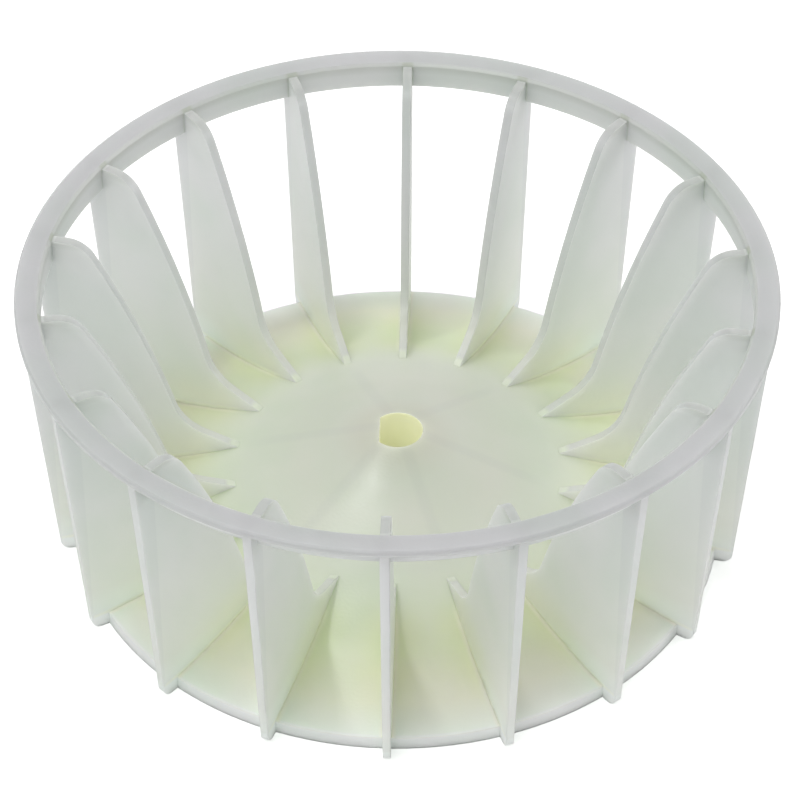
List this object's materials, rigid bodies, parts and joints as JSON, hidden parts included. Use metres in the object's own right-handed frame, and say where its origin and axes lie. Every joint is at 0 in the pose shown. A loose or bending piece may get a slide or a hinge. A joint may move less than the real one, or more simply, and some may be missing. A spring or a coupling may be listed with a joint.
{
  "type": "dryer fan impeller",
  "caption": "One-piece moulded centrifugal fan wheel: a coned back plate with straight radial blades, a ring round their tips and a D-shaped shaft bore.",
  "frame": {"origin": "on the bore's axis, in the plane of the blade feet and the plate's rim", "axes": "+Z along the bore towards the ring and the air inlet; -Y towards the first blade; the bore's flat is on the -X side"},
  "size_m": [0.175, 0.175, 0.073],
  "materials": {
    "moulding": "satin natural polypropylene, off-white and slightly see-through at thin edges"
  },
  "bodies": {
    "root": {"impeller": "moulding"}
  },
  "joints": []
}
